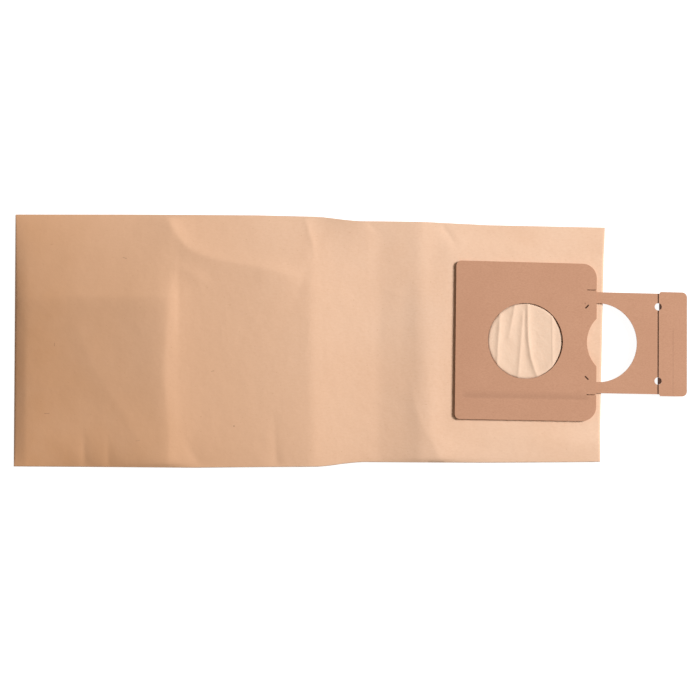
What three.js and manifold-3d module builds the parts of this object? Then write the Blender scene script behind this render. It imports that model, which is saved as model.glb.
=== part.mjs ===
// Paper dust bag for an upright vacuum cleaner, lying on its back: a two-ply paper bag, and at one end a card
// collar with the round inlet and a card tab that slides in it.
// Millimetres. X runs along the bag towards the collar, Y across it, Z up from the table.
import * as THREE from "three";
import { mergeVertices } from "three/addons/utils/BufferGeometryUtils.js";
import Module from "manifold-3d";

const wasm = await Module();
wasm.setup();

// Layers
const paper = 0.4; // kraft paper of the bag
const ply = 0.25; // filter paper inside it
const card = 0.7; // each card of the collar
const clearance = 0.3; // between neighbouring layers, and round the slide

// Bag, seen from above; places along it count from its closed end
const bagLength = 562;
const closedEndWidth = 238;
const drawnInWidth = 230; // the bag is drawn in beyond its cross fold
const collarEndWidth = 226;
const foldAt = 284; // the sharp fold across the bag
const drawnInOver = 50; // length in which it is drawn in after the fold
const swing = 1.2; // degrees that the collar end swings to -Y beyond the fold
const endSkew = 2.2; // degrees that the collar end is folded out of square
const edgeBulge = 0.6; // how far a folded edge stands out beyond the walls
const edgeGap = 0.5; // space left between the two plies at a folded edge

// Bag, seen from the side: heights of its upper face above the table along the middle
const closedEndHeight = 5;
const liftAt = 30; // the steep start at the closed end
const liftHeight = 8.2;
const panelAt = 140;
const panelHeight = 15;
const foldHeight = 17;
const valleyAt = 345;
const valleyHeight = 11;
const humpAt = 381;
const humpHeight = 13;
const collarHeight = 10; // under the centre of the inlet, where the collar is glued on
const closedEndRound = 14; // length of the rounding at the closed end
const collarEndRound = 9; // the same at the collar end
const sideSharpness = 3.4; // how square the bag's cross section is

// Underside
const seamWidth = 22; // lap seam along the back
const flapDepth = 26; // each end, folded under and glued
const flapTaper = 5; // how far each side of a flap slants in

// Collar, seen from above; places on it count from the centre of the inlet
const collarWidth = 152;
const inletToBackEdge = 67.8;
const inletToFreeEdge = 69.4;
const collarToBagEnd = 6.5;
const collarAside = 1.1; // the collar is glued on this far to +Y of the bag's middle
const collarPitch = 1.8; // degrees, down towards the bag's end
const collarYaw = -1.3; // degrees, glued on a little askew
const backCorner = 5;
const freeCorner = 14;
const inletRadius = 36.5;
const notchWidth = 46; // thumb notch in the free edge
const notchDepth = 9.4;
const slitLength = 9.4; // slits beside the tab's shoulders
const slitWidth = 0.9;
const nickLength = 4.6; // barbs cut in the front card, which snap into the tab's holes
const nickWidth = 0.5;
const nickOffset = 34.4;

// Slide
const slideTravel = 71.4;
const neckWidth = 97.7;
const headWidth = 101.2;
const headLength = 27.4;
const headCorner = 5;
const shoulderSlant = 1.2;
const windowRadius = 38.1;
const channelWall = 5.8; // card left between the channel and the collar's back edge
const detentRadius = 3.5;
const detentOffset = 36;
const scoreWidth = 1;
const scoreDepth = 0.25;
const scoreToShoulder = 1.2;

const radians = THREE.MathUtils.degToRad;
const arcSteps = 10;
const gridStep = 14; // spacing of the bag's facets
const flatness = 0.01; // facets that lie this near one plane become one

// Closed geometry to solid, and back to a named mesh
function solidOf(geometry) {
  const bare = new THREE.BufferGeometry();
  bare.setAttribute("position", geometry.getAttribute("position"));
  bare.setIndex(geometry.index);
  const merged = mergeVertices(bare, 1e-4);
  return new wasm.Manifold(
    new wasm.Mesh({
      numProp: 3,
      vertProperties: merged.attributes.position.array,
      triVerts: new Uint32Array(merged.index.array),
    }),
  );
}

function meshOf(name, solid, material) {
  const made = solid.simplify(flatness).getMesh();
  const geometry = new THREE.BufferGeometry();
  geometry.setAttribute("position", new THREE.BufferAttribute(made.vertProperties, 3));
  geometry.setIndex(new THREE.BufferAttribute(made.triVerts, 1));
  geometry.computeVertexNormals();
  const mesh = new THREE.Mesh(geometry, material);
  mesh.name = name;
  return mesh;
}

function extruded(shape, thickness, bottom = 0) {
  const geometry = new THREE.ExtrudeGeometry(shape, {
    depth: thickness,
    bevelEnabled: false,
    curveSegments: arcSteps,
  });
  geometry.translate(0, 0, bottom);
  return solidOf(geometry);
}

function boxSolid(sizeX, sizeY, sizeZ, x, y, z, turn = 0) {
  const geometry = new THREE.BoxGeometry(sizeX, sizeY, sizeZ);
  geometry.rotateZ(radians(turn));
  geometry.translate(x, y, z);
  return solidOf(geometry);
}

const smooth = THREE.MathUtils.smoothstep;
const lerp = THREE.MathUtils.lerp;

// Where the collar lies
const closedEnd = -bagLength / 2;
const collarEnd = bagLength / 2;
const foldX = closedEnd + foldAt;
const inletX = collarEnd - collarToBagEnd - inletToFreeEdge;
const inletY = middle(inletX) + collarAside;
const collarTurn = new THREE.Euler(0, radians(collarPitch), radians(collarYaw), "ZYX");
const collarNormal = new THREE.Vector3(0, 0, 1).applyEuler(collarTurn);

// The bag's outline
function middle(x) {
  return -Math.max(0, x - closedEnd - foldAt) * Math.tan(radians(swing));
}

function halfWidth(x) {
  const drawnIn = lerp(closedEndWidth, drawnInWidth, smooth(x, foldX, foldX + drawnInOver));
  const beyond = THREE.MathUtils.clamp((x - foldX) / (collarEnd - foldX), 0, 1);
  return (drawnIn + (collarEndWidth - drawnInWidth) * beyond) / 2;
}

// A place on the bag, given its distance along and across it
function onBag(along, across) {
  const skew = Math.tan(radians(endSkew)) * smooth(along, foldX, collarEnd);
  return new THREE.Vector2(along + across * skew, middle(along) + across);
}

// The height of the bag's upper face along its middle: stations joined by cubic curves, with a slope on each side
const crown = [
  { at: 0, height: closedEndHeight, slope: 0.15 },
  { at: liftAt, height: liftHeight, slope: 0.075 },
  { at: panelAt, height: panelHeight, slope: 0.04, slopeAfter: 0 },
  { at: foldAt, height: foldHeight, slope: 0.02, slopeAfter: -0.13 },
  { at: valleyAt, height: valleyHeight, slope: 0 },
  { at: humpAt, height: humpHeight, slope: 0, slopeAfter: -0.04 },
  { at: bagLength, height: collarHeight, slope: 0 },
];

function crownHeight(x) {
  const at = THREE.MathUtils.clamp(x - closedEnd, 0, bagLength);
  const next = Math.max(1, crown.findIndex((station) => station.at >= at));
  const a = crown[next - 1];
  const b = crown[next];
  const span = b.at - a.at;
  const s = (at - a.at) / span;
  const leave = (a.slopeAfter ?? a.slope) * span;
  const arrive = b.slope * span;
  return (
    a.height * (2 * s ** 3 - 3 * s ** 2 + 1) +
    leave * (s ** 3 - 2 * s ** 2 + s) +
    b.height * (3 * s ** 2 - 2 * s ** 3) +
    arrive * (s ** 3 - s ** 2)
  );
}

// Creases that cross the bag: [x, y] along each, from the bag's middle, and how far it stands up or sinks
const creases = [
  { path: [[-135, 116], [-127, 94], [-106, 79], [-68, 71], [-30, 64], [-11, 59]], rise: 1.6, spread: 11 },
  { path: [[-131, 73], [-117, 64], [-101, 53]], rise: 0.8, spread: 9 },
  { path: [[-135, 47], [-141, -31], [-136, -79], [-136, -120]], rise: 1.2, spread: 14 },
  { path: [[-278, 38], [-141, 39]], rise: 1.5, spread: 26 },
  { path: [[-224, 13], [-205, -27], [-163, -97]], rise: 1, spread: 13 },
  { path: [[95, -50], [103, -83], [123, -118]], rise: 1.2, spread: 10 },
];

function distanceToPath(x, y, path) {
  const point = new THREE.Vector3(x, y, 0);
  const nearest = new THREE.Vector3();
  let least = Infinity;
  for (let i = 1; i < path.length; i++) {
    const stretch = new THREE.Line3(
      new THREE.Vector3(...path[i - 1], 0),
      new THREE.Vector3(...path[i], 0),
    );
    stretch.closestPointToPoint(point, true, nearest);
    least = Math.min(least, nearest.distanceTo(point));
  }
  return least;
}

function creaseHeight(x, y) {
  let height = 0;
  for (const { path, rise, spread } of creases)
    height += rise * Math.exp(-((distanceToPath(x, y, path) / spread) ** 2));
  return height;
}

// Under the collar the bag is flat, in the collar's own plane
const padMargin = 4;
const padBlend = 24;

function padHeight(x, y) {
  const across = collarNormal.x * (x - inletX) + collarNormal.y * (y - inletY);
  return collarHeight - across / collarNormal.z;
}

function padShare(x, y) {
  const place = new THREE.Vector2(x - inletX, y - inletY).rotateAround(
    new THREE.Vector2(),
    -radians(collarYaw),
  );
  const beyond = Math.hypot(
    Math.max(0, -inletToBackEdge - padMargin - place.x),
    Math.max(0, Math.abs(place.y) - collarWidth / 2 - padMargin),
  );
  return 1 - smooth(beyond, 0, padBlend);
}

function rounding(distance, length) {
  const s = THREE.MathUtils.clamp(1 - distance / length, 0, 1);
  return Math.sqrt(1 - s * s);
}

const underside = 2 * paper; // the folded ends lie between the bag and the table
const edgeThickness = 2 * (paper + clearance + ply) + edgeGap;
const edgeTop = underside + edgeThickness;

// The upper face at a distance along the bag, and at a share of its half width
function upperFace(along, share) {
  const { x, y } = onBag(along, share * halfWidth(along));
  const side = 1 - Math.abs(share) ** sideSharpness;
  const ends = rounding(along - closedEnd, closedEndRound) * rounding(collarEnd - along, collarEndRound);
  const free = (crownHeight(along) + creaseHeight(x, y) - edgeTop) * side;
  const pad = Math.abs(share) < 1 ? padHeight(x, y) - edgeTop : 0;
  return new THREE.Vector3(x, y, edgeTop + lerp(free, pad, padShare(x, y)) * ends);
}

// Facets of the bag: columns along it, rows across it from -1 to 1
function spaced(from, to, step) {
  const count = Math.max(1, Math.round((to - from) / step));
  return Array.from({ length: count }, (_, i) => lerp(from, to, i / count));
}

const collarBack = inletX - inletToBackEdge - padMargin;
const endSteps = [0, 0.14, 0.43, 1];
const columns = [
  ...endSteps.slice(0, -1).map((share) => closedEnd + share * closedEndRound),
  ...spaced(closedEnd + closedEndRound, foldX, gridStep),
  ...spaced(foldX, collarBack, gridStep),
  ...spaced(collarBack, collarEnd - collarEndRound, 2 * gridStep),
  ...endSteps.toReversed().map((share) => collarEnd - share * collarEndRound),
];
const halfRows = [0.18, 0.36, 0.53, 0.67, 0.79, 0.89, 0.96, 1];
const rows = [...halfRows.toReversed().map((share) => -share), 0, ...halfRows];

// One closed pillow, set in from the bag's outer faces by depth on every side
function pillow(depth, bulge) {
  const lastColumn = columns.length - 1;
  const lastRow = rows.length - 1;
  const outer = (i, j) => upperFace(columns[i], rows[j]);
  // A point on the rim moves inwards along its facet, so each wall keeps its thickness
  const inner = (i, j) => {
    const point = outer(i, j);
    const toColumn = i === 0 ? 1 : i === lastColumn ? lastColumn - 1 : i;
    const toRow = j === 0 ? 1 : j === lastRow ? lastRow - 1 : j;
    const alongStep = outer(toColumn, j).sub(point);
    const acrossStep = outer(i, toRow).sub(point);
    if (toColumn !== i) point.addScaledVector(alongStep, depth / Math.abs(alongStep.x));
    if (toRow !== j) point.addScaledVector(acrossStep, depth / Math.abs(acrossStep.y));
    return point;
  };
  const positions = [];
  const add = (point) => positions.push(point.x, point.y, point.z) / 3 - 1;
  const top = columns.map((_, i) =>
    rows.map((_, j) => {
      const point = inner(i, j);
      point.z -= depth;
      return add(point);
    }),
  );
  const bottom = columns.map((_, i) =>
    rows.map((_, j) => {
      const point = inner(i, j);
      point.z = underside + depth;
      return add(point);
    }),
  );
  const triangles = [];
  const quad = (a, b, c, d) => triangles.push(a, b, c, a, c, d);
  for (let i = 0; i < lastColumn; i++)
    for (let j = 0; j < lastRow; j++) {
      const outward = i < lastColumn / 2 === j < lastRow / 2;
      const cell = (grid) => [grid[i][j], grid[i + 1][j], grid[i + 1][j + 1], grid[i][j + 1]];
      const [a, b, c, d] = cell(top);
      const [e, f, g, h] = cell(bottom);
      if (outward) {
        quad(a, b, c, d);
        quad(h, g, f, e);
      } else {
        quad(b, c, d, a);
        quad(e, h, g, f);
      }
    }
  // The rim, counter-clockwise seen from above
  const rim = [
    ...columns.slice(0, -1).map((_, i) => [i, 0]),
    ...rows.slice(0, -1).map((_, j) => [lastColumn, j]),
    ...columns.slice(0, -1).map((_, i) => [lastColumn - i, lastRow]),
    ...rows.slice(0, -1).map((_, j) => [0, lastRow - j]),
  ];
  const crest = rim.map(([i, j]) => {
    const low = new THREE.Vector3().fromArray(positions, 3 * bottom[i][j]);
    const high = new THREE.Vector3().fromArray(positions, 3 * top[i][j]);
    const point = low.add(high).multiplyScalar(0.5);
    point.x += bulge * ((i === lastColumn) - (i === 0));
    point.y += bulge * ((j === lastRow) - (j === 0));
    return add(point);
  });
  rim.forEach(([i, j], k) => {
    const [nextI, nextJ] = rim[(k + 1) % rim.length];
    const nextCrest = crest[(k + 1) % rim.length];
    quad(bottom[i][j], bottom[nextI][nextJ], nextCrest, crest[k]);
    quad(crest[k], nextCrest, top[nextI][nextJ], top[i][j]);
  });
  const geometry = new THREE.BufferGeometry();
  geometry.setAttribute("position", new THREE.Float32BufferAttribute(positions, 3));
  geometry.setIndex(triangles);
  return solidOf(geometry);
}

// The hole in the bag's upper walls, square to the collar and ending half way down inside the bag
function inletDrill() {
  const length = 2 * collarHeight;
  const geometry = new THREE.CylinderGeometry(inletRadius, inletRadius, length, 8 * arcSteps);
  geometry.rotateX(Math.PI / 2);
  geometry.translate(0, 0, length / 2 - collarHeight / 2);
  const place = new THREE.Matrix4().makeRotationFromEuler(collarTurn);
  place.setPosition(inletX, inletY, collarHeight);
  geometry.applyMatrix4(place);
  return solidOf(geometry);
}

// Extra paper on the underside: the lap seam and the two folded ends
function strip(from, to, halfAt, lowest) {
  const shape = new THREE.Shape();
  const steps = spaced(from, to, 3 * gridStep);
  const stations = [...steps, to];
  shape.setFromPoints([
    ...stations.map((along) => onBag(along, -halfAt(along))),
    ...stations.toReversed().map((along) => onBag(along, halfAt(along))),
  ]);
  return extruded(shape, underside + paper / 2 - lowest, lowest);
}

function endFlap(fold, inwards) {
  const free = fold + inwards * flapDepth;
  const half = (along) => halfWidth(along) - (flapTaper * Math.abs(along - fold)) / flapDepth;
  return strip(Math.min(fold, free), Math.max(fold, free), half, 0);
}

function makeBag(material) {
  const seam = strip(closedEnd + flapDepth / 2, collarEnd - flapDepth / 2, () => seamWidth / 2, paper);
  const solid = pillow(0, edgeBulge)
    .add(seam)
    .add(endFlap(closedEnd, 1))
    .add(endFlap(collarEnd, -1))
    .subtract(pillow(paper, 0))
    .subtract(inletDrill());
  return meshOf("paper_bag", solid, material);
}

// Wrinkles of the filter paper that show through the inlet: [x, y] from the inlet's centre
const wrinkles = [
  [[-24, 32], [-25, 2], [-28, -30]],
  [[-9, 40], [-12, 22], [-16, 4]],
  [[-2, 28], [-4, 0], [-8, -38]],
  [[3, 40], [2, 12], [4, -12], [11, -32]],
  [[27, 26], [26, -28]],
];
const wrinkleHeight = 1.1;
const wrinkleWidth = 4.5;
const plyFloor = underside + paper + clearance + ply;

function wrinkleSolid(path) {
  const curve = new THREE.SplineCurve(path.map(([x, y]) => new THREE.Vector2(inletX + x, inletY + y)));
  const steps = 12;
  const positions = [];
  for (let k = 1; k < steps; k++) {
    const point = curve.getPoint(k / steps);
    const side = curve.getTangent(k / steps).rotateAround(new THREE.Vector2(), Math.PI / 2);
    const reach = (wrinkleWidth / 2) * Math.sin((Math.PI * k) / steps);
    const height = wrinkleHeight * Math.sin((Math.PI * k) / steps);
    positions.push(point.x + side.x * reach, point.y + side.y * reach, plyFloor - ply / 2);
    positions.push(point.x - side.x * reach, point.y - side.y * reach, plyFloor - ply / 2);
    positions.push(point.x, point.y, plyFloor + height);
  }
  const sections = steps - 1;
  const start = curve.getPoint(0);
  const end = curve.getPoint(1);
  positions.push(start.x, start.y, plyFloor - ply / 2);
  positions.push(end.x, end.y, plyFloor - ply / 2);
  const triangles = [];
  for (let k = 0; k < sections - 1; k++)
    for (let edge = 0; edge < 3; edge++) {
      const a = 3 * k + edge;
      const b = 3 * k + ((edge + 1) % 3);
      triangles.push(a, b, b + 3, a, b + 3, a + 3);
    }
  const last = 3 * (sections - 1);
  for (let edge = 0; edge < 3; edge++) {
    const next = (edge + 1) % 3;
    triangles.push(3 * sections, next, edge);
    triangles.push(3 * sections + 1, last + edge, last + next);
  }
  const geometry = new THREE.BufferGeometry();
  geometry.setAttribute("position", new THREE.Float32BufferAttribute(positions, 3));
  geometry.setIndex(triangles);
  return solidOf(geometry);
}

function makePly(material) {
  const outside = paper + clearance;
  let solid = pillow(outside, 0).subtract(pillow(outside + ply, 0)).subtract(inletDrill());
  for (const path of wrinkles) solid = solid.add(wrinkleSolid(path));
  return meshOf("inner_ply", solid, material);
}

// Outlines of the collar's cards
const backEdge = -inletToBackEdge;
const freeEdge = inletToFreeEdge;
const halfCollar = collarWidth / 2;
const pocketStart = freeEdge - slitLength; // the tab's shoulders stop here
const channelHalf = neckWidth / 2 + clearance;
const pocketHalf = headWidth / 2 + clearance;
const channelStart = backEdge + channelWall;

function backCorners(shape) {
  shape.lineTo(backEdge + backCorner, halfCollar);
  shape.absarc(backEdge + backCorner, halfCollar - backCorner, backCorner, Math.PI / 2, Math.PI);
  shape.lineTo(backEdge, backCorner - halfCollar);
  shape.absarc(backEdge + backCorner, backCorner - halfCollar, backCorner, Math.PI, 1.5 * Math.PI);
}

function plateOutline() {
  const halfNotch = notchWidth / 2;
  const notchRadius = (halfNotch ** 2 + notchDepth ** 2) / (2 * notchDepth);
  const notchAngle = Math.asin(halfNotch / notchRadius);
  const notchX = freeEdge - notchDepth + notchRadius;
  const shape = new THREE.Shape();
  shape.moveTo(backEdge + backCorner, -halfCollar);
  shape.lineTo(freeEdge - freeCorner, -halfCollar);
  shape.absarc(freeEdge - freeCorner, freeCorner - halfCollar, freeCorner, -Math.PI / 2, 0);
  shape.lineTo(freeEdge, -halfNotch);
  shape.absarc(notchX, 0, notchRadius, Math.PI + notchAngle, Math.PI - notchAngle, true);
  shape.lineTo(freeEdge, halfCollar - freeCorner);
  shape.absarc(freeEdge - freeCorner, halfCollar - freeCorner, freeCorner, 0, Math.PI / 2);
  backCorners(shape);
  shape.holes.push(circle(0, 0, inletRadius));
  return shape;
}

function circle(x, y, radius) {
  const path = new THREE.Path();
  for (let quarter = 0; quarter < 4; quarter++) {
    const from = (quarter * Math.PI) / 2;
    path.absarc(x, y, radius, from, from + Math.PI / 2);
  }
  return path;
}

function makeFrontPlate(material, bottom) {
  let solid = extruded(plateOutline(), card, bottom);
  const level = bottom + card / 2;
  for (const side of [-1, 1]) {
    const slitY = side * (headWidth / 2);
    const slit = boxSolid(2 * slitLength, slitWidth, 2 * card, freeEdge, slitY, level);
    const nickTurn = side * 45;
    const nick = boxSolid(nickLength, nickWidth, 2 * card, pocketStart, side * nickOffset, level, nickTurn);
    solid = solid.subtract(slit).subtract(nick);
  }
  return meshOf("front_plate", solid, material);
}

function makeBackPlate(material, bottom) {
  return meshOf("back_plate", extruded(plateOutline(), card, bottom), material);
}

function makeChannelCard(material, bottom) {
  const shape = new THREE.Shape();
  shape.moveTo(backEdge + backCorner, -halfCollar);
  shape.lineTo(freeEdge - freeCorner, -halfCollar);
  shape.absarc(freeEdge - freeCorner, freeCorner - halfCollar, freeCorner, -Math.PI / 2, 0);
  shape.lineTo(freeEdge, -pocketHalf);
  shape.lineTo(pocketStart, -pocketHalf);
  shape.lineTo(pocketStart, -channelHalf);
  shape.lineTo(channelStart, -channelHalf);
  shape.lineTo(channelStart, channelHalf);
  shape.lineTo(pocketStart, channelHalf);
  shape.lineTo(pocketStart, pocketHalf);
  shape.lineTo(freeEdge, pocketHalf);
  shape.lineTo(freeEdge, halfCollar - freeCorner);
  shape.absarc(freeEdge - freeCorner, halfCollar - freeCorner, freeCorner, 0, Math.PI / 2);
  backCorners(shape);
  return meshOf("channel_card", extruded(shape, card, bottom), material);
}

// The slide, drawn out: two arms run in the channel beside the inlet, and pushed in its window comes to the inlet
function makeSlide(material, bottom) {
  const windowX = slideTravel;
  const armEnd = channelStart + clearance + slideTravel;
  const shoulder = pocketStart + clearance + slideTravel;
  const tip = shoulder + headLength;
  const halfNeck = neckWidth / 2;
  const halfHead = headWidth / 2;
  const scoreX = shoulder - scoreToShoulder;
  const shape = new THREE.Shape();
  shape.moveTo(armEnd, -halfNeck);
  shape.lineTo(shoulder, -halfNeck);
  shape.lineTo(shoulder + shoulderSlant, -halfHead);
  shape.lineTo(tip - headCorner, -halfHead);
  shape.absarc(tip - headCorner, headCorner - halfHead, headCorner, -Math.PI / 2, 0);
  shape.lineTo(tip, halfHead - headCorner);
  shape.absarc(tip - headCorner, halfHead - headCorner, headCorner, 0, Math.PI / 2);
  shape.lineTo(shoulder + shoulderSlant, halfHead);
  shape.lineTo(shoulder, halfNeck);
  shape.lineTo(armEnd, halfNeck);
  shape.lineTo(armEnd, windowRadius);
  shape.lineTo(windowX, windowRadius);
  shape.absarc(windowX, 0, windowRadius, Math.PI / 2, 0, true);
  shape.absarc(windowX, 0, windowRadius, 0, -Math.PI / 2, true);
  shape.lineTo(armEnd, -windowRadius);
  for (const side of [-1, 1]) shape.holes.push(circle(scoreX, side * detentOffset, detentRadius));
  const score = boxSolid(scoreWidth, 2 * headWidth, 2 * scoreDepth, scoreX, 0, bottom + card);
  const solid = extruded(shape, card, bottom).subtract(score);
  return meshOf("slide_tab", solid, material);
}

const kraft = new THREE.MeshStandardMaterial({ color: "#dab08d", roughness: 0.92, metalness: 0 });
const filterPaper = new THREE.MeshStandardMaterial({ color: "#f0d6ba", roughness: 0.95, metalness: 0 });
const brownCard = new THREE.MeshStandardMaterial({ color: "#cd9e82", roughness: 0.88, metalness: 0 });

// The collar lies on the bag in its own frame: origin at the inlet, z square to the cards
const collar = new THREE.Group();
collar.rotation.copy(collarTurn);
collar.position.set(inletX, inletY, collarHeight).addScaledVector(collarNormal, clearance);
const middleLayer = card + clearance;
const frontLayer = 2 * middleLayer;
collar.add(makeBackPlate(brownCard, 0));
collar.add(makeChannelCard(brownCard, middleLayer));
collar.add(makeSlide(brownCard, middleLayer));
collar.add(makeFrontPlate(brownCard, frontLayer));

const dustBag = new THREE.Group();
dustBag.add(makeBag(kraft));
dustBag.add(makePly(filterPaper));
dustBag.add(collar);

// The origin is on the table, under the middle of the whole
const bounds = new THREE.Box3().setFromObject(dustBag, true);
const centre = bounds.getCenter(new THREE.Vector3());
dustBag.position.set(-centre.x, -centre.y, -bounds.min.z);

export default dustBag;
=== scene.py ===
import math
import bpy
import bmesh
import numpy as np
from mathutils import Euler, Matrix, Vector


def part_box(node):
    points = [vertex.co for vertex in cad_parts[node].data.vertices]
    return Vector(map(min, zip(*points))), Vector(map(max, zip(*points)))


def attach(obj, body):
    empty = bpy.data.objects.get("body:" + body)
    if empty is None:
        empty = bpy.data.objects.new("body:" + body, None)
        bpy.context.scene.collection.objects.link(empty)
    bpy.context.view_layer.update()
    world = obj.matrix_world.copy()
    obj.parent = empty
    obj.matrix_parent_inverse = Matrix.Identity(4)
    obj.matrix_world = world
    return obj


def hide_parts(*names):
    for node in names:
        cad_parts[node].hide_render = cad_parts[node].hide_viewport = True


# A paper dust bag lying on a white table, seen from above.
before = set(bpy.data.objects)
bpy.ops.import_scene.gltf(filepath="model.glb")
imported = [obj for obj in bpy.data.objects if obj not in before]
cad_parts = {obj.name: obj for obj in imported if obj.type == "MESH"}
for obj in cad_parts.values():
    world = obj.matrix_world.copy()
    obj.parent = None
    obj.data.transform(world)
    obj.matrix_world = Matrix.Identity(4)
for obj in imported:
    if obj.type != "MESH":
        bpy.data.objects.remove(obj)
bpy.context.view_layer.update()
scene = bpy.context.scene
scene.view_settings.view_transform = "Standard"
mm = 0.001


def linear(red, green, blue):
    # a colour given as screen values from 0 to 255
    def channel(value):
        value /= 255
        return value / 12.92 if value <= 0.04045 else ((value + 0.055) / 1.055) ** 2.4
    return (channel(red), channel(green), channel(blue), 1)


def smoothStep(value, low, high):
    s = np.clip((value - low) / (high - low), 0, 1)
    return s * s * (3 - 2 * s)


# Camera: above the bag and a little towards its closed end
view = {
    "place": (-84.3 * mm, -95.7 * mm, 1398 * mm),
    "turn": (3.505, -3.234, -0.402),  # degrees
    "lens": 75, "filmWidth": 36, "farthest": 20,  # millimetres, millimetres, metres
}


def makeCamera():
    data = bpy.data.cameras.new("viewCamera")
    data.lens = view["lens"]
    data.sensor_width = view["filmWidth"]
    data.clip_end = view["farthest"]
    camera = bpy.data.objects.new("viewCamera", data)
    camera.location = view["place"]
    camera.rotation_euler = [math.radians(angle) for angle in view["turn"]]
    scene.collection.objects.link(camera)
    scene.camera = camera


# Light: one large lamp beyond the collar and a little to +Y, half way up, in a dim warm room
lighting = {
    "from": 16, "height": 44, "distance": 5, "size": 1.8, "power": 335,  # degrees, metres, watts
    "room": 0.22, "roomTone": (1, 0.87, 0.70, 1),
    "floorSize": 6.0, "floorDrop": 0.05 * mm, "floorGlow": 0.95, "floorTone": (0.28, 0.28, 0.28, 1),
    "floorBounce": (0.8, 0.8, 0.8, 1),
}


def addLamp(name, place):
    data = bpy.data.lights.new(name, "AREA")
    data.shape = "SQUARE"
    data.size = lighting["size"]
    data.energy = lighting["power"]
    lamp = bpy.data.objects.new(name, data)
    lamp.location = place
    lamp.rotation_euler = (-Vector(place)).to_track_quat("-Z", "Y").to_euler()
    scene.collection.objects.link(lamp)


def makeRoom():
    turn = Euler((0, -math.radians(lighting["height"]), math.radians(lighting["from"])))
    addLamp("sideLamp", turn.to_matrix() @ Vector((lighting["distance"], 0, 0)))
    world = bpy.data.worlds.new("paleRoom")
    scene.world = world
    world.use_nodes = True
    tree = world.node_tree
    tree.nodes.clear()
    dim = addNode(tree, "ShaderNodeBackground", Color=lighting["roomTone"], Strength=lighting["room"])
    white = addNode(tree, "ShaderNodeBackground", Color=(1, 1, 1, 1), Strength=1.0)
    mix = addNode(tree, "ShaderNodeMixShader")
    out = tree.nodes.new("ShaderNodeOutputWorld")
    tree.links.new(backdropRay(tree), mix.inputs[0])
    tree.links.new(dim.outputs[0], mix.inputs[1])
    tree.links.new(white.outputs[0], mix.inputs[2])
    tree.links.new(mix.outputs[0], out.inputs["Surface"])
    half = lighting["floorSize"] / 2
    low = -lighting["floorDrop"]
    mesh = bpy.data.meshes.new("tableTop")
    mesh.from_pydata(
        [(-half, -half, low), (half, -half, low), (half, half, low), (-half, half, low)], [], [(0, 1, 2, 3)])
    floor = bpy.data.objects.new("tableTop", mesh)
    scene.collection.objects.link(floor)
    floor.data.materials.append(tableMaterial())


# Node helpers
def plug(tree, socket, value):
    if isinstance(value, bpy.types.NodeSocket):
        tree.links.new(value, socket)
    else:
        socket.default_value = value


def newMaterial(name):
    material = bpy.data.materials.new(name)
    material.use_nodes = True
    return material, material.node_tree


def addNode(tree, kind, settings=None, **inputs):
    node = tree.nodes.new(kind)
    for key, value in (settings or {}).items():
        setattr(node, key, value)
    for key, value in inputs.items():
        plug(tree, node.inputs[key.replace("_", " ")], value)
    return node


def mixColours(tree, share, first, second):
    node = tree.nodes.new("ShaderNodeMix")
    node.data_type = "RGBA"
    for socket, value in ((node.inputs["Factor"], share), (node.inputs[6], first), (node.inputs[7], second)):
        plug(tree, socket, value)
    return node.outputs[2]


def multiply(tree, first, second):
    node = tree.nodes.new("ShaderNodeMath")
    node.operation = "MULTIPLY"
    for socket, value in zip(node.inputs, (first, second)):
        plug(tree, socket, value)
    return node.outputs[0]


def rangeOf(tree, value, low, high, toLow, toHigh):
    node = tree.nodes.new("ShaderNodeMapRange")
    tree.links.new(value, node.inputs["Value"])
    for name, number in (("From Min", low), ("From Max", high), ("To Min", toLow), ("To Max", toHigh)):
        node.inputs[name].default_value = number
    return node.outputs["Result"]


def noise(tree, place, scale, detail, stretch=(1, 1, 1), shift=(0, 0, 0)):
    mapping = addNode(tree, "ShaderNodeMapping", Vector=place, Scale=stretch, Location=shift)
    node = addNode(
        tree, "ShaderNodeTexNoise", Vector=mapping.outputs["Vector"], Scale=scale, Detail=detail)
    return node.outputs["Fac"]


def backdropRay(tree):
    # 1 for rays that show the table and room themselves: seen straight, mirrored, or through something clear
    rays = tree.nodes.new("ShaderNodeLightPath").outputs
    share = rays["Is Camera Ray"]
    for name in ("Is Glossy Ray", "Is Transmission Ray"):
        either = addNode(tree, "ShaderNodeMath", {"operation": "MAXIMUM"})
        tree.links.new(share, either.inputs[0])
        tree.links.new(rays[name], either.inputs[1])
        share = either.outputs[0]
    return share


def tableMaterial():
    material, tree = newMaterial("whiteTable")
    tree.nodes.clear()
    diffuse = addNode(tree, "ShaderNodeBsdfDiffuse", Color=lighting["floorBounce"])
    seenDiffuse = addNode(tree, "ShaderNodeBsdfDiffuse", Color=lighting["floorTone"])
    glow = addNode(tree, "ShaderNodeEmission", Color=(1, 1, 1, 1), Strength=lighting["floorGlow"])
    seen = addNode(tree, "ShaderNodeAddShader")
    tree.links.new(seenDiffuse.outputs[0], seen.inputs[0])
    tree.links.new(glow.outputs[0], seen.inputs[1])
    mix = addNode(tree, "ShaderNodeMixShader")
    tree.links.new(backdropRay(tree), mix.inputs[0])
    tree.links.new(diffuse.outputs[0], mix.inputs[1])
    tree.links.new(seen.outputs[0], mix.inputs[2])
    out = tree.nodes.new("ShaderNodeOutputMaterial")
    tree.links.new(mix.outputs[0], out.inputs["Surface"])
    return material


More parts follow.
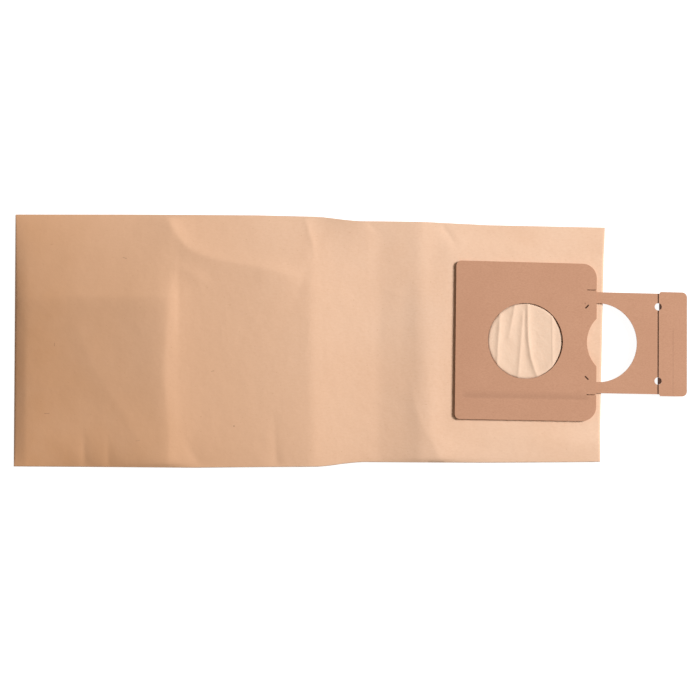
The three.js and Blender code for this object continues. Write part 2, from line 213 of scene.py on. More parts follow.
# How much a place lies on a straight mark: 1 on it, fading to 0 past its ends and past each long side
def markShare(tree, place, mark):
    turned = addNode(
        tree, "ShaderNodeMapping", {"vector_type": "TEXTURE"}, Vector=place, Location=(*mark["at"], 0),
        Rotation=(0, 0, math.radians(mark["turn"])))
    parts = addNode(tree, "ShaderNodeSeparateXYZ", Vector=turned.outputs["Vector"]).outputs
    end = mark["length"] / 2
    side = mark["width"] / 2
    share = rangeOf(tree, parts["X"], -end - mark["endFade"], -end, 0, 1)
    share = multiply(tree, share, rangeOf(tree, parts["X"], end + mark["endFade"], end, 0, 1))
    share = multiply(tree, share, rangeOf(tree, parts["Y"], -side - mark["lowerFade"], -side, 0, 1))
    return multiply(tree, share, rangeOf(tree, parts["Y"], side + mark["upperFade"], side, 0, 1))


# A straight mark on paper or card, in millimetres and degrees
def lineMark(at, turn, length, width, strength, endFade=0.3, lowerFade=0.25, upperFade=0.25, depth=0.0):
    return {
        "at": at, "turn": turn, "length": length, "width": width, "strength": strength, "endFade": endFade,
        "lowerFade": lowerFade, "upperFade": upperFade, "depth": depth,
    }


# Parts of a noise's range in which each layer of tone fades in, and the detail of its noise
grain = {
    "cloudRange": (0.35, 0.7), "cloudDetail": 4, "fibreRange": (0.38, 0.68), "fibreDetail": 4,
    "fleckRange": (0.70, 0.76), "fleckDetail": 2, "fleckShift": (3, 1, 0), "roughRange": (0.3, 0.7),
    "roughSpread": 0.05, "sheenRoughness": 0.6, "crumpleDetail": 3,
}
marksAbove = (1.5 * mm, 3 * mm)  # marks fade in between these heights, so the underside has none


# Papers and card: fibres lie mostly along the bag, over soft clouds of tone and a few flecks. A far colour
# of painted shade may darken one end. Marks darken the tone: painted shade along pressed or cut lines, folds
# and slopes, or flecks of the paper's own; they are placed from an origin that may be turned.
def paperMaterial(name, paper, marks, origin, turn=0):
    material, tree = newMaterial(name)
    shader = tree.nodes["Principled BSDF"]
    place = tree.nodes.new("ShaderNodeTexCoord").outputs["Object"]
    tone = paper["colour"]
    # a far colour is painted shade: the tone darkens towards one end, along a turned direction
    if "farShadeColour" in paper:
        farTurn = (0, 0, -math.radians(paper["farTurn"]))
        turned = addNode(tree, "ShaderNodeMapping", Vector=place, Rotation=farTurn).outputs["Vector"]
        along = addNode(tree, "ShaderNodeSeparateXYZ", Vector=turned).outputs["X"]
        share = rangeOf(tree, along, *paper["farRange"], 0, 1)
        tone = mixColours(tree, share, paper["farShadeColour"], paper["colour"])
    clouds = noise(tree, place, paper["cloudScale"], grain["cloudDetail"])
    share = rangeOf(tree, clouds, *grain["cloudRange"], 0, paper["cloudShare"])
    tone = mixColours(tree, share, tone, paper["cloudColour"])
    fibres = noise(tree, place, paper["fibreScale"], grain["fibreDetail"], paper["fibreStretch"])
    share = rangeOf(tree, fibres, *grain["fibreRange"], 0, paper["fibreShare"])
    tone = mixColours(tree, share, tone, paper["fibreColour"])
    flecks = noise(
        tree, place, paper["fleckScale"], grain["fleckDetail"], paper["fibreStretch"], grain["fleckShift"])
    share = rangeOf(tree, flecks, *grain["fleckRange"], 0, paper["fleckShare"])
    tone = mixColours(tree, share, tone, paper["fleckColour"])
    fromOrigin = addNode(
        tree, "ShaderNodeMapping", {"vector_type": "TEXTURE"}, Vector=place, Location=(*origin, 0),
        Rotation=(0, 0, math.radians(turn)), Scale=(mm, mm, mm)).outputs["Vector"]
    height = addNode(tree, "ShaderNodeSeparateXYZ", Vector=place).outputs["Z"]
    above = rangeOf(tree, height, *marksAbove, 0, 1)
    shares = [multiply(tree, markShare(tree, fromOrigin, mark), above) for mark in marks]
    for share, mark in zip(shares, marks):
        # each mark mixes the tone towards dark brown: painted shade, or a fleck's own colour
        tone = mixColours(tree, multiply(tree, share, mark["strength"]), tone, shadeAndFleckBrown["colour"])
    tree.links.new(tone, shader.inputs["Base Color"])
    rough = rangeOf(
        tree, fibres, *grain["roughRange"], paper["roughness"] - grain["roughSpread"],
        paper["roughness"] + grain["roughSpread"])
    tree.links.new(rough, shader.inputs["Roughness"])
    shader.inputs["Specular IOR Level"].default_value = paper["specular"]
    shader.inputs["Sheen Weight"].default_value = paper["sheen"]
    shader.inputs["Sheen Roughness"].default_value = grain["sheenRoughness"]
    crumple = noise(tree, place, paper["crumpleScale"], grain["crumpleDetail"])
    coarse = addNode(
        tree, "ShaderNodeBump", Height=crumple, Strength=1.0, Distance=paper["crumpleDepth"])
    fine = addNode(
        tree, "ShaderNodeBump", Height=fibres, Strength=1.0, Distance=paper["fibreDepth"],
        Normal=coarse.outputs["Normal"])
    normal = fine.outputs["Normal"]
    for share, mark in zip(shares, marks):
        if not mark["depth"]:
            continue
        pressed = addNode(
            tree, "ShaderNodeBump", {"invert": True}, Height=share, Strength=1.0, Distance=mark["depth"] * mm,
            Normal=normal)
        normal = pressed.outputs["Normal"]
    tree.links.new(normal, shader.inputs["Normal"])
    return material


kraftPaper = {
    # the far colour is painted shade: darker and warmer towards the closed end and its lower side, which tilt
    # away from the lamp
    "colour": linear(222, 187, 161), "farShadeColour": linear(197, 147, 106), "farRange": (-0.30, 0.06),
    "farTurn": 25,  # degrees from X in which the tone changes
    "cloudColour": linear(211, 169, 138), "cloudScale": 14, "cloudShare": 0.4,
    "fibreColour": linear(198, 153, 120), "fibreScale": 700, "fibreShare": 0.14,
    "fibreStretch": (0.45, 1, 1), "fibreDepth": 0.012 * mm,
    "fleckColour": linear(176, 128, 92), "fleckScale": 900, "fleckShare": 0.4,
    "roughness": 0.72, "specular": 0.3, "sheen": 0.05,
    "crumpleScale": 60, "crumpleDepth": 0.5 * mm,
}
filterPaper = {
    "colour": linear(223, 194, 171), "cloudColour": linear(217, 186, 162), "cloudScale": 40,
    "cloudShare": 0.5, "fibreColour": linear(220, 177, 148), "fibreScale": 800, "fibreShare": 0.2,
    "fibreStretch": (0.5, 1, 1), "fibreDepth": 0.015 * mm,
    "fleckColour": linear(205, 165, 130), "fleckScale": 900, "fleckShare": 0.3,
    "roughness": 0.8, "specular": 0.25, "sheen": 0.1,
    "crumpleScale": 110, "crumpleDepth": 0.6 * mm,
}
brownCard = {
    "colour": linear(186, 140, 113), "cloudColour": linear(179, 133, 106), "cloudScale": 30,
    "cloudShare": 0.5, "fibreColour": linear(166, 121, 95), "fibreScale": 1100, "fibreShare": 0.4,
    "fibreStretch": (0.5, 1, 1), "fibreDepth": 0.04 * mm,
    "fleckColour": linear(135, 94, 70), "fleckScale": 1300, "fleckShare": 0.5,
    "roughness": 0.78, "specular": 0.25, "sheen": 0.05,
    "crumpleScale": 90, "crumpleDepth": 0.08 * mm,
}
# a dark brown: painted shade in folds, cuts, creases and holes, and the colour of flecks
shadeAndFleckBrown = {"colour": linear(62, 34, 19), "roughness": 0.9}


# Creases: curves lie flat in plan, and a mesh is lifted by how near a curve runs past each of its points.
# The two flanks of a crease may differ in width, and the curve's radius is how strong it is there.
def creaseTree():
    tree = bpy.data.node_groups.new("creaseAlongCurves", "GeometryNodeTree")
    sockets = (
        ("Geometry", "Geometry"), ("Creases", "Object"), ("Rise", "Float"), ("Left Flank", "Float"),
        ("Right Flank", "Float"), ("Power", "Float"), ("Step", "Float"), ("Material", "Material"),
    )
    for label, kind in sockets:
        tree.interface.new_socket(label, in_out="INPUT", socket_type="NodeSocket" + kind)
    tree.interface.new_socket("Geometry", in_out="OUTPUT", socket_type="NodeSocketGeometry")
    given = tree.nodes.new("NodeGroupInput").outputs
    result = tree.nodes.new("NodeGroupOutput")

    def number(operation, *values):
        node = tree.nodes.new("ShaderNodeMath")
        node.operation = operation
        return wire(node, values).outputs[0]

    def vector(operation, *values):
        node = tree.nodes.new("ShaderNodeVectorMath")
        node.operation = operation
        return wire(node, values)

    def wire(node, values):
        for socket, value in zip(node.inputs, values):
            plug(tree, socket, value)
        return node

    curves = addNode(tree, "GeometryNodeObjectInfo", Object=given["Creases"]).outputs["Geometry"]
    points = addNode(
        tree, "GeometryNodeCurveToPoints", {"mode": "LENGTH"}, Curve=curves, Length=given["Step"])
    position = tree.nodes.new("GeometryNodeInputPosition").outputs[0]
    flat = vector("MULTIPLY", position, (1, 1, 0)).outputs[0]
    nearest = addNode(
        tree, "GeometryNodeSampleNearest", Geometry=points.outputs["Points"], Sample_Position=flat)

    def atNearest(kind, value):
        node = tree.nodes.new("GeometryNodeSampleIndex")
        node.data_type = kind
        tree.links.new(points.outputs["Points"], node.inputs["Geometry"])
        tree.links.new(value, node.inputs["Value"])
        tree.links.new(nearest.outputs["Index"], node.inputs["Index"])
        return node.outputs["Value"]

    away = vector("SUBTRACT", flat, atNearest("FLOAT_VECTOR", position)).outputs[0]
    turn = vector("CROSS_PRODUCT", atNearest("FLOAT_VECTOR", points.outputs["Tangent"]), away).outputs[0]
    onLeft = number("GREATER_THAN", addNode(tree, "ShaderNodeSeparateXYZ", Vector=turn).outputs["Z"], 0.0)
    flank = addNode(
        tree, "ShaderNodeMix", Factor=onLeft, A=given["Right Flank"], B=given["Left Flank"]).outputs[0]
    share = number("POWER", number("DIVIDE", vector("LENGTH", away).outputs["Value"], flank), given["Power"])
    profile = number("EXPONENT", number("MULTIPLY", share, -1.0))
    strength = atNearest("FLOAT", tree.nodes.new("GeometryNodeInputRadius").outputs[0])
    loose = addNode(tree, "GeometryNodeInputNamedAttribute", {"data_type": "FLOAT"}, Name="loose")
    lift = number("MULTIPLY", number("MULTIPLY", profile, strength), given["Rise"])
    lift = number("MULTIPLY", lift, loose.outputs["Attribute"])
    offset = addNode(tree, "ShaderNodeCombineXYZ", Z=lift).outputs[0]
    moved = addNode(tree, "GeometryNodeSetPosition", Geometry=given["Geometry"], Offset=offset)
    real = addNode(tree, "GeometryNodeRealizeInstances", Geometry=moved.outputs["Geometry"])
    finished = addNode(
        tree, "GeometryNodeSetMaterial", Geometry=real.outputs["Geometry"], Material=given["Material"])
    tree.links.new(finished.outputs["Geometry"], result.inputs[0])
    return tree


creaseStep = 0.25 * mm  # between the points taken on each curve


def creaseCurves(name, paths, place):
    data = bpy.data.curves.new(name, "CURVE")
    data.dimensions = "3D"
    for path in paths:
        spline = data.splines.new("NURBS")
        spline.points.add(len(path) - 1)
        for point, (x, y, strength) in zip(spline.points, path):
            point.co = (place[0] + x * mm, place[1] + y * mm, 0, 1)
            point.radius = strength
        spline.order_u = min(3, len(path))
        spline.use_endpoint_u = True
        spline.resolution_u = 12
    curves = bpy.data.objects.new(name, data)
    scene.collection.objects.link(curves)
    return curves


def applyModifiers(piece):
    bpy.context.view_layer.update()
    evaluated = piece.evaluated_get(bpy.context.evaluated_depsgraph_get())
    shaped = bpy.data.meshes.new_from_object(evaluated)
    piece.modifiers.clear()
    piece.data = shaped


def crease(piece, tree, groups, place, material):
    helpers = []
    for name, group in groups.items():
        curves = creaseCurves(name, group["paths"], place)
        helpers.append(curves)
        modifier = piece.modifiers.new(name, "NODES")
        modifier.node_group = tree
        values = {
            "Creases": curves, "Rise": group["rise"] * mm, "Left Flank": group["left"] * mm,
            "Right Flank": group["right"] * mm, "Power": group["power"], "Step": creaseStep,
            "Material": material,
        }
        for socket in tree.interface.items_tree:
            if socket.in_out == "INPUT" and socket.name in values:
                modifier[socket.identifier] = values[socket.name]
    applyModifiers(piece)
    for helper in helpers:
        bpy.data.objects.remove(helper)


# The bag's form, in the same terms as its solid
bag = {
    "length": 562 * mm, "closedEndWidth": 238 * mm, "drawnInWidth": 230 * mm, "collarEndWidth": 226 * mm,
    "foldAt": 284 * mm, "drawnInOver": 50 * mm, "swing": 1.2, "endSkew": 2.2,
    "bulge": 0.6 * mm, "underside": 0.8 * mm, "edgeThickness": 2.4 * mm,
    "closedEndRound": 14 * mm, "collarEndRound": 2 * mm,
    # how square each side is, and between which places along the bag its edge comes to stand up
    "lowerSide": {"sharpness": 8, "standsFrom": 30 * mm, "standsAt": 130 * mm},
    "upperSide": {"sharpness": 3.4, "standsFrom": 284 * mm, "standsAt": 345 * mm},
    "shoulder": 2 * mm,  # a standing edge ends this far below the upper face
    # how far the paper lies off its drawn outline at places along it: sideways, and wider on each side
    "drift": (
        (0, 0.2, 0.2), (100, -0.45, 0.95), (170, -1.1, 1.4), (230, -1.2, 1.2), (284, -1.85, 0.65),
        (310, -1.45, 0.25), (345, -1.05, 0.75), (390, -0.9, 0.9), (450, -1.35, 0.35), (520, -0.65, 0.25),
        (562, -0.15, 0.15)),
    # places along the middle, counted from the closed end: height, slope before it and after it
    "crown": (
        (0, 5, 0.15, 0.15), (30, 8.2, 0.075, 0.075), (140, 15, 0.04, 0), (280, 17, 0.02, -0.13),
        (345, 11, -0.05, 0.04), (384, 13.4, 0.06, -0.06), (562, 10, 0, 0)),
    "softness": 4 * mm,  # kinks of the crown are rounded over this much on each side
    "edgeHold": 60,  # how near its edges the paper starts to be held flat, against creases
    "wall": 0.3 * mm, "cell": 1.9 * mm, "undersideRows": 22,
    "endReach": 3 * mm, "endStart": 0.5 * mm, "endCell": 0.8 * mm,  # finer cells at both ends
    "seamWidth": 22 * mm, "seamLevel": 0.4 * mm, "flapDepth": 26 * mm, "flapTaper": 5 * mm, "stripCell": 30 * mm,
}
collar = {
    "height": 10 * mm, "pitch": 1.8, "yaw": -1.3, "toBagEnd": 6.5 * mm, "aside": 1.1 * mm, "backEdge": 67.8 * mm,
    "freeEdge": 69.4 * mm, "width": 152 * mm, "inletRadius": 36.5 * mm, "clearance": 0.3 * mm,
    "padMargin": 4 * mm, "padBlend": 24 * mm,
}
bagLow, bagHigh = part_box("paper_bag")
closedEnd = bagLow.x + bag["bulge"]
bagMiddle = (closedEnd + bag["length"] / 2, 0)
collarEnd = closedEnd + bag["length"]
foldX = closedEnd + bag["foldAt"]


def middleLine(along):
    return -np.maximum(0, along - foldX) * math.tan(math.radians(bag["swing"]))


def halfWidth(along):
    drawnIn = smoothStep(along, foldX, foldX + bag["drawnInOver"])
    width = bag["closedEndWidth"] + (bag["drawnInWidth"] - bag["closedEndWidth"]) * drawnIn
    beyond = np.clip((along - foldX) / (collarEnd - foldX), 0, 1)
    return (width + (bag["collarEndWidth"] - bag["drawnInWidth"]) * beyond) / 2


def onBag(along, across):
    skew = math.tan(math.radians(bag["endSkew"])) * smoothStep(along, foldX, collarEnd)
    places, sideways, wider = (np.array(values) * mm for values in zip(*bag["drift"]))
    at = along - closedEnd
    drift = np.interp(at, places, sideways) + np.interp(at, places, wider) * across / halfWidth(along)
    return along + across * skew, middleLine(along) + across + drift


inletX = collarEnd - collar["toBagEnd"] - collar["freeEdge"]
inletY = float(middleLine(np.array(inletX))) + collar["aside"]
collarTurn = Euler((0, math.radians(collar["pitch"]), math.radians(collar["yaw"])), "XYZ")
collarNormal = collarTurn.to_matrix() @ Vector((0, 0, 1))


def crownHeight(along):
    at = np.clip(along - closedEnd, 0, bag["length"])
    height = np.zeros_like(at)
    for start, end in zip(bag["crown"], bag["crown"][1:]):
        span = (end[0] - start[0]) * mm
        s = np.clip((at - start[0] * mm) / span, 0, 1)
        cubic = (
            start[1] * mm * (2 * s**3 - 3 * s**2 + 1) + start[3] * span * (s**3 - 2 * s**2 + s)
            + end[1] * mm * (3 * s**2 - 2 * s**3) + end[2] * span * (s**3 - s**2))
        height = np.where((at >= start[0] * mm) & (at <= end[0] * mm), cubic, height)
    return height


def softCrown(along):
    shifts = np.linspace(-bag["softness"], bag["softness"], 7)
    return sum(crownHeight(along + shift) for shift in shifts) / len(shifts)


def padHeight(x, y):
    return collar["height"] - (collarNormal.x * (x - inletX) + collarNormal.y * (y - inletY)) / collarNormal.z


def padShare(x, y):
    turn = -math.radians(collar["yaw"])
    localX = (x - inletX) * math.cos(turn) - (y - inletY) * math.sin(turn)
    localY = (x - inletX) * math.sin(turn) + (y - inletY) * math.cos(turn)
    beyond = np.hypot(
        np.maximum(0, -collar["backEdge"] - collar["padMargin"] - localX),
        np.maximum(0, np.abs(localY) - collar["width"] / 2 - collar["padMargin"]))
    return 1 - smoothStep(beyond, 0, collar["padBlend"])


def rounding(distance, length):
    s = np.clip(1 - distance / length, 0, 1)
    return np.sqrt(1 - s * s)


def edgeStands(along, side):
    return smoothStep(along, closedEnd + side["standsFrom"], closedEnd + side["standsAt"])


def upperFace(along, share):
    # place and height, and how loose the paper is there: 0 at the edges and under the collar
    x, y = onBag(along, share * halfWidth(along))
    under = padShare(x, y)
    face = softCrown(along) + (padHeight(x, y) - softCrown(along)) * under
    pressed = bag["underside"] + bag["edgeThickness"]
    standing = np.where(share < 0, edgeStands(along, bag["lowerSide"]), edgeStands(along, bag["upperSide"]))
    edge = pressed + (face - bag["shoulder"] - pressed) * standing
    sharpness = np.where(share < 0, bag["lowerSide"]["sharpness"], bag["upperSide"]["sharpness"])
    side = 1 - np.abs(share) ** sharpness
    side = np.where(np.abs(share) < 0.999, side + (1 - side) * under, 0)
    ends = rounding(along - closedEnd, bag["closedEndRound"]) * rounding(collarEnd - along, bag["collarEndRound"])
    loose = (1 - np.abs(share) ** bag["edgeHold"]) * ends * (1 - under)
    return x, y, edge + (face - edge) * side * ends, loose


def gridFaces(first, columns, rows, upward):
    # quads of a grid of points numbered column by column
    i, j = np.meshgrid(np.arange(columns - 1), np.arange(rows - 1), indexing="ij")
    corner = first + i * rows + j
    quads = np.stack([corner, corner + rows, corner + rows + 1, corner + 1], -1).reshape(-1, 4)
    return quads if upward else quads[:, ::-1]


# A closed pillow of fine cells above and fewer rows below, joined round a folded edge
def pillow(name, along, across, lowerRows, sink, floorLevel):
    columns, rows = len(along), len(across)
    a, s = np.meshgrid(along, across, indexing="ij")
    x, y, z, loose = upperFace(a, s)
    z = np.maximum(z - sink(loose), floorLevel + bag["wall"])
    upper = np.stack([x, y, z], -1).reshape(-1, 3)
    picked = np.unique(np.linspace(0, rows - 1, lowerRows).astype(int))
    lower = np.stack([x[:, picked], y[:, picked], np.full((columns, len(picked)), floorLevel)], -1)
    edge = []
    for i in range(columns - 1):
        edge.append((i, 0))
    for j in range(rows - 1):
        edge.append((columns - 1, j))
    for i in range(columns - 1, 0, -1):
        edge.append((i, rows - 1))
    for j in range(rows - 1, 0, -1):
        edge.append((0, j))
    crest = []
    for i, j in edge:
        crest.append((
            x[i, j] + bag["bulge"] * ((i == columns - 1) - (i == 0)),
            y[i, j] + bag["bulge"] * ((j == rows - 1) - (j == 0)),
            (z[i, j] + floorLevel) / 2))
    points = np.concatenate([upper, lower.reshape(-1, 3), np.array(crest)])
    lowerStart = len(upper)
    crestStart = lowerStart + columns * len(picked)
    faces = [tuple(int(v) for v in quad) for quad in gridFaces(0, columns, rows, True)]
    faces += [tuple(int(v) for v in quad) for quad in gridFaces(lowerStart, columns, len(picked), False)]
    pickedAt = {int(row): k for k, row in enumerate(picked)}

    def lowerIndex(i, j):
        return lowerStart + i * len(picked) + pickedAt[j]

    count = len(edge)
    waiting = [crestStart]
    lastLower = lowerIndex(0, 0)
    for k in range(count):
        i, j = edge[k]
        nextI, nextJ = edge[(k + 1) % count]
        nextCrest = crestStart + (k + 1) % count
        faces.append((crestStart + k, nextCrest, nextI * rows + nextJ, i * rows + j))
        waiting.append(nextCrest)
        if nextJ in pickedAt:
            corner = lowerIndex(nextI, nextJ)
            faces.append((lastLower, corner, *reversed(waiting)))
            waiting = [nextCrest]
            lastLower = corner
    mesh = bpy.data.meshes.new(name)
    mesh.from_pydata(points.tolist(), [], faces)
    mesh.update()
    values = np.zeros(len(points), np.float32)
    values[:lowerStart] = loose.reshape(-1)
    mesh.attributes.new("loose", "FLOAT", "POINT").data.foreach_set("value", values)
    piece = bpy.data.objects.new(name, mesh)
    scene.collection.objects.link(piece)
    return piece


def steps(start, end, cell):
    return np.linspace(start, end, max(2, round((end - start) / cell) + 1))


def cutInlet(piece, radius, upperFaces):
    # opens the upper face under the collar, which is the first of the mesh, with a round rim
    mesh = bmesh.new()
    mesh.from_mesh(piece.data)
    doomed = []
    for face in mesh.faces:
        centre = face.calc_center_median()
        inside = math.hypot(centre.x - inletX, centre.y - inletY) < radius
        if inside and face.normal.z > 0.5 and face.index < upperFaces:
            doomed.append(face)
    bmesh.ops.delete(mesh, geom=doomed, context="FACES")
    for vertex in mesh.verts:
        if vertex.is_boundary:
            spoke = Vector((vertex.co.x - inletX, vertex.co.y - inletY, 0))
            vertex.co.x = inletX + spoke.x / spoke.length * radius
            vertex.co.y = inletY + spoke.y / spoke.length * radius
    mesh.to_mesh(piece.data)
    mesh.free()


def thicken(piece, thickness):
    solid = piece.modifiers.new("wall", "SOLIDIFY")
    solid.thickness = thickness
    solid.offset = -1
    solid.use_even_offset = False
    applyModifiers(piece)


def shadeSmooth(piece, angle=40):
    piece.data.polygons.foreach_set("use_smooth", np.ones(len(piece.data.polygons), bool))
    piece.data.set_sharp_from_angle(angle=math.radians(angle))


# Creases of the bag: x, y from its middle and strength, in millimetres; left and right as one walks along
bagCreases = {
    "upperRidge": {"rise": 3.4, "left": 12, "right": 22, "power": 1.2, "paths": (
        ((-138, 119, 1), (-127, 94, 1), (-106, 79, 1.1), (-68, 71, 1), (-30, 64, 1), (-8, 56, 0.1)),)},
    "branch": {"rise": 1.4, "left": 7, "right": 12, "power": 1.2, "paths": (
        ((-133, 74, 0.1), (-117, 64, 1), (-98, 51, 0.1)),)},
    "bandRidge": {"rise": 2.5, "left": 16, "right": 36, "power": 1.4, "paths": (
        ((-133, 72, 0.1), (-134, 47, 0.8), (-139, -6, 1), (-142, -31, 1), (-139, -58, 1), (-135, -79, 1),
         (-136, -119, 1)),)},
    "bandFoot": {"rise": -0.9, "left": 12, "right": 8, "power": 1.1, "paths": (
        ((-122, -88, 0.1), (-118, -104, 1), (-105, -119, 1)),)},
    "longRidge": {"rise": 3.6, "left": 34, "right": 48, "power": 1.0, "paths": (
        ((-279, 35, 0.7), (-243, 41, 1), (-196, 40, 1), (-141, 39, 1), (-126, 39, 0.1)),)},
    "leftSlant": {"rise": 0.7, "left": 15, "right": 13, "power": 1.3, "paths": (
        ((-228, 20, 0.1), (-219, 4, 0.7), (-205, -27, 1), (-189, -53, 1), (-172, -80, 0.9), (-158, -106, 0.1)),)},
    "rightSlant": {"rise": 0.8, "left": 9, "right": 16, "power": 1.0, "paths": (
        ((94, -34, 0.1), (95, -54, 0.8), (103, -83, 1), (118, -107, 1), (124, -118, 0.8)),)},
    "lowerHump": {"rise": 2.1, "left": 32, "right": 34, "power": 1.4, "paths": (
        ((106, 60, 0.1), (108, 0, 0.7), (111, -60, 1), (115, -118, 1)),)},
    "foldTop": {"rise": 0.7, "left": 3, "right": 3, "power": 1.0, "paths": (
        ((-6, 118, 1), (-1, 99, 1), (3, 86, 0.6), (2, 66, 0.1)),)},
    "edgePuckers": {"rise": -0.9, "left": 5, "right": 5, "power": 1.2, "paths": (
        ((-216, -84, 0.1), (-215, -104, 1), (-215, -119, 1)), ((-193, -90, 0.1), (-192, -119, 1)),
        ((-37, -66, 0.1), (-34, -119, 1)))},
    "smallDents": {"rise": -0.8, "left": 3, "right": 3, "power": 1.2, "paths": (
        ((56, 113, 1), (63, 102, 0.2)), ((128, 106, 0.8), (136, 97, 1), (139, 86, 0.3)),)},
    "smallRidge": {"rise": 0.5, "left": 2, "right": 3, "power": 1.0, "paths": (
        ((70, 46, 0.2), (82, 42, 1), (91, 41, 0.3)),)},
}


def addUnderPaper(mesh, start, end, halfAt, low):
    # a flat strip of the bag's own paper on its underside, a little into the wall above it
    rings = []
    for along in steps(start, end, bag["stripCell"]):
        half = halfAt(along)
        ring = []
        for across, level in ((-half, low), (half, low), (half, bag["underside"]), (-half, bag["underside"])):
            x, y = onBag(along, across)
            ring.append(mesh.verts.new((x, y, level + (level > low) * bag["wall"] / 2)))
        rings.append(ring)
    faces = [mesh.faces.new(rings[0]), mesh.faces.new(rings[-1])]
    for first, second in zip(rings, rings[1:]):
        for k in range(4):
            faces.append(mesh.faces.new((first[k - 1], first[k], second[k], second[k - 1])))
    bmesh.ops.recalc_face_normals(mesh, faces=faces)


def addSeamAndFlaps(piece):
    mesh = bmesh.new()
    mesh.from_mesh(piece.data)
    inset = bag["flapDepth"] / 2
    addUnderPaper(
        mesh, closedEnd + inset, collarEnd - inset, lambda along: bag["seamWidth"] / 2, bag["seamLevel"])
    for fold, free in ((closedEnd, closedEnd + bag["flapDepth"]), (collarEnd - bag["flapDepth"], collarEnd)):
        outer = closedEnd if fold == closedEnd else collarEnd

        def halfAt(along):
            return float(halfWidth(along)) - bag["flapTaper"] * abs(along - outer) / bag["flapDepth"]

        addUnderPaper(mesh, fold, free, halfAt, 0)
    mesh.to_mesh(piece.data)
    mesh.free()


# Painted shade on the bag: a patch darker below a straight edge, the darker closed end and a darker band
# before the collar; and flecks of the paper's own, from the bag's middle
bagMarks = (
    lineMark((-215, -10), 0, 150, 80, 0.05, endFade=4, lowerFade=40, upperFade=12),
    lineMark((-277, -70), 90, 110, 9, 0.13, endFade=45, lowerFade=4, upperFade=9),
    lineMark((107, -35), 90, 120, 18, 0.07, endFade=45, lowerFade=14, upperFade=14),
    lineMark((-177, 77), -20, 3.5, 0.5, 0.3),
    lineMark((-243, -5), 90, 3, 0.5, 0.25),
    lineMark((-250, -70), 0, 4.5, 0.5, 0.25),
    lineMark((-94, -31), 15, 3, 0.6, 0.2),
    lineMark((-74, -83), 0, 0.8, 0.8, 0.5),
    lineMark((-164, -96), 10, 4, 0.5, 0.15),
)


def makeBag(tree):
    material = paperMaterial("kraftPaper", kraftPaper, bagMarks, bagMiddle)
    reach = bag["endReach"]
    start = bag["endStart"]
    along = np.concatenate([
        [closedEnd], steps(closedEnd + start, closedEnd + reach, bag["endCell"]),
        steps(closedEnd + reach, collarEnd - reach, bag["cell"])[1:-1],
        steps(collarEnd - reach, collarEnd - start, bag["endCell"]), [collarEnd]])
    half = bag["closedEndWidth"] / 2
    across = steps(-1, 1, bag["cell"] / half)
    piece = pillow("kraftBag", along, across, bag["undersideRows"], lambda loose: 0, bag["underside"])
    crease(piece, tree, bagCreases, bagMiddle, material)
    cutInlet(piece, collar["inletRadius"], (len(along) - 1) * (len(across) - 1))
    thicken(piece, bag["wall"])
    addSeamAndFlaps(piece)
    shadeSmooth(piece)
    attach(piece, "bag")
    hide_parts("paper_bag")
    print("kraftBag", len(piece.data.polygons), "faces")


# Inner filter paper: wrinkles that show through the inlet, x, y from its centre
ply = {
    "depth": 0.7 * mm, "hangs": 4 * mm, "cell": 8 * mm, "fineCell": 0.8 * mm, "fineReach": 60 * mm,
    # the puff under the inlet
    "below": 1.4 * mm, "dome": 3.1 * mm, "domeReach": 37 * mm, "domeSharpness": 50, "slopes": 20 * mm,
    "smoothAngle": 60,
}
plyCreases = {
    "plyFolds": {"rise": 1.15, "left": 2.6, "right": 2, "power": 1.2, "paths": (
        ((-24, 34, 0.4), (-25, 15, 1), (-27, -5, 0.9), (-28, -30, 0.6)),
        ((-9, 40, 0.5), (-12, 22, 0.9), (-16, 4, 0.3)),
        ((-2, 28, 0.4), (-4, 0, 0.9), (-8, -38, 0.6)),
        ((3, 40, 0.8), (2, 12, 1.2), (4, -12, 1.1), (7, -24, 1), (11, -34, 0.5)),
    )},
    "plyBand": {"rise": 1.4, "left": 2.4, "right": 12, "power": 1.2, "paths": (
        ((27, 42, 0.8), (26.5, 0, 1), (26.5, -42, 0.8)),
    )},
}


# Painted shade along the straight fold near the rim and on the paper beyond it, from the middle of the inlet
plyMarks = (
    lineMark((25.5, 0), 90, 66, 0.7, 0.12, endFade=6),
    lineMark((31, 0), 90, 48, 7, 0.1, endFade=14, lowerFade=2.5, upperFade=2.5),
)


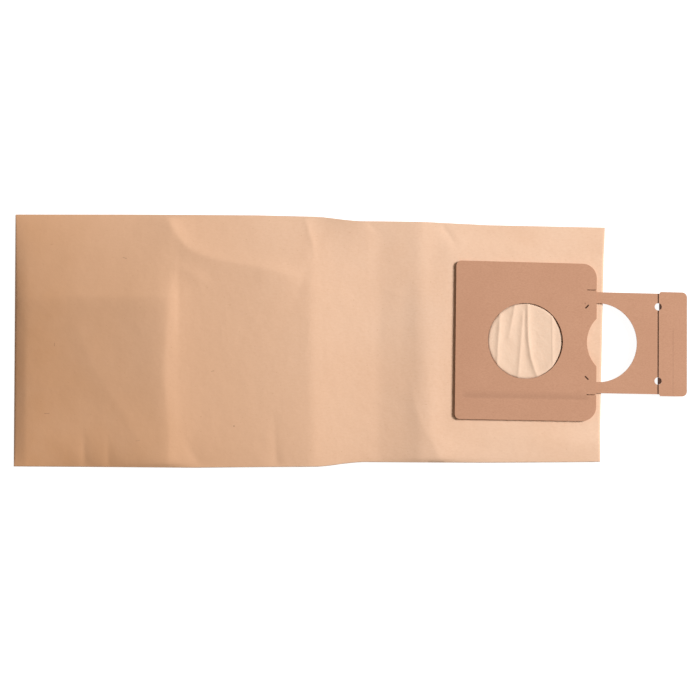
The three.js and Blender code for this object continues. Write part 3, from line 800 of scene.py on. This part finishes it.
def makePly(tree):
    material = paperMaterial("filterPaper", filterPaper, plyMarks, (inletX, inletY))
    reach = ply["fineReach"]
    low = ply["depth"]
    along = np.concatenate([
        steps(closedEnd + low, inletX - reach, ply["cell"])[:-1],
        steps(inletX - reach, inletX + reach, ply["fineCell"]),
        steps(inletX + reach, collarEnd - low, ply["cell"])[1:]])
    half = float(halfWidth(np.array(inletX)))
    fine = reach / half
    edge = 1 - low / half
    across = np.concatenate([
        steps(-edge, -fine, ply["cell"] / half)[:-1],
        steps(-fine, fine, ply["fineCell"] / half),
        steps(fine, edge, ply["cell"] / half)[1:]])
    print("ply grid", len(along), len(across))

    def sink(loose):
        return low + ply["hangs"] * loose

    piece = pillow("filterPly", along, across, len(across), sink, bag["underside"] + low)
    # the lower face is puffed up against the inlet and carries the wrinkles
    count = len(along) * len(across)
    places = np.empty(3 * len(piece.data.vertices))
    piece.data.vertices.foreach_get("co", places)
    places = places.reshape(-1, 3)
    x, y, z = places[count:2 * count].T
    reach = np.hypot(x - inletX, y - inletY)
    dome = np.clip(1 - (reach / ply["domeReach"]) ** ply["domeSharpness"], 0, 1)
    puff = padHeight(x, y) - ply["below"] + ply["dome"] * dome
    near = 1 - smoothStep(reach, ply["domeReach"], ply["domeReach"] + ply["slopes"])
    places[count:2 * count, 2] = z + (puff - z) * near
    piece.data.vertices.foreach_set("co", places.reshape(-1))
    values = np.zeros(len(places), np.float32)
    values[count:2 * count] = near
    piece.data.attributes["loose"].data.foreach_set("value", values)
    crease(piece, tree, plyCreases, (inletX, inletY), material)
    cutInlet(piece, collar["inletRadius"], (len(along) - 1) * (len(across) - 1))
    shadeSmooth(piece, ply["smoothAngle"])
    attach(piece, "bag")
    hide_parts("inner_ply")
    print("filterPly", len(piece.data.polygons), "faces")


# Marks on the cards, painted shade: where the channel's edge presses through the front card, which is also
# pressed in as a bump, in the nicks cut in it, along the tab's score line and a faint crease in its head;
# and a small dark dot beside the upper nick
scoreX = 130.5
nick = {"x": 60, "offset": 34.4, "length": 4.4, "width": 1.2}
nickMarks = (
    lineMark((nick["x"], nick["offset"]), 45, nick["length"], nick["width"], 0.9),
    lineMark((nick["x"], -nick["offset"]), -45, nick["length"], nick["width"], 0.9),
)
plateMarks = nickMarks + (
    lineMark((58.2, 37.4), 90, 1.2, 1.0, 0.3),
    lineMark((0, -54), 0, 116, 1.5, 0.11, endFade=5, lowerFade=2, upperFade=5.5, depth=0.2),
)
tabMarks = (
    lineMark((scoreX, 0), 90, 98, 1.15, 0.92, lowerFade=0.15, upperFade=0.15),
    lineMark((145.3, -18.5), 90, 62, 0.5, 0.15, endFade=4),
)


def finishCards():
    finishes = {"back_plate": nickMarks, "channel_card": (), "front_plate": plateMarks, "slide_tab": tabMarks}
    for name, marks in finishes.items():
        material = paperMaterial(name + "Card", brownCard, marks, (inletX, inletY), collar["yaw"])
        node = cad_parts[name]
        node.data.materials.clear()
        node.data.materials.append(material)


# A dark piece of painted shade in each of the tab's two punched holes, on the side of its head, where the
# card's shadow lies below: a disc's part beyond a chord, in millimetres in the collar's own frame
holeShade = {
    "offset": 36, "radius": 3.4, "low": 1.1, "high": 1.35, "upperChord": 1.0, "lowerChord": -0.3, "corners": 17,
}


def makeHoleShade(name, y, chord):
    material, tree = newMaterial(name)
    shader = tree.nodes["Principled BSDF"]
    # the piece has the dark brown of painted shade
    shader.inputs["Base Color"].default_value = shadeAndFleckBrown["colour"]
    shader.inputs["Roughness"].default_value = shadeAndFleckBrown["roughness"]
    origin = Vector((inletX, inletY, collar["height"])) + collarNormal * collar["clearance"]
    halfAngle = math.acos(chord / holeShade["radius"])
    mesh = bmesh.new()
    rings = []
    for level in (holeShade["low"], holeShade["high"]):
        ring = []
        for angle in np.linspace(-halfAngle, halfAngle, holeShade["corners"]):
            spoke = (holeShade["radius"] * math.cos(angle), holeShade["radius"] * math.sin(angle))
            local = Vector((scoreX + spoke[0], y + spoke[1], level))
            ring.append(mesh.verts.new(origin + collarTurn.to_matrix() @ local * mm))
        rings.append(ring)
    lower, upper = rings
    mesh.faces.new(lower)
    mesh.faces.new(upper)
    for k in range(len(lower)):
        mesh.faces.new((lower[k - 1], lower[k], upper[k], upper[k - 1]))
    bmesh.ops.recalc_face_normals(mesh, faces=mesh.faces)
    data = bpy.data.meshes.new(name)
    mesh.to_mesh(data)
    mesh.free()
    data.materials.append(material)
    piece = bpy.data.objects.new(name, data)
    scene.collection.objects.link(piece)
    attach(piece, "slide")


makeCamera()
makeRoom()
print("room and camera ready")
creases = creaseTree()
makeBag(creases)
makePly(creases)
finishCards()
# dark pieces of painted shade in the tab's two holes
makeHoleShade("upperHoleFlap", holeShade["offset"], holeShade["upperChord"])
makeHoleShade("lowerHoleFlap", -holeShade["offset"], holeShade["lowerChord"])
print("cards finished")

bpy.context.view_layer.update()
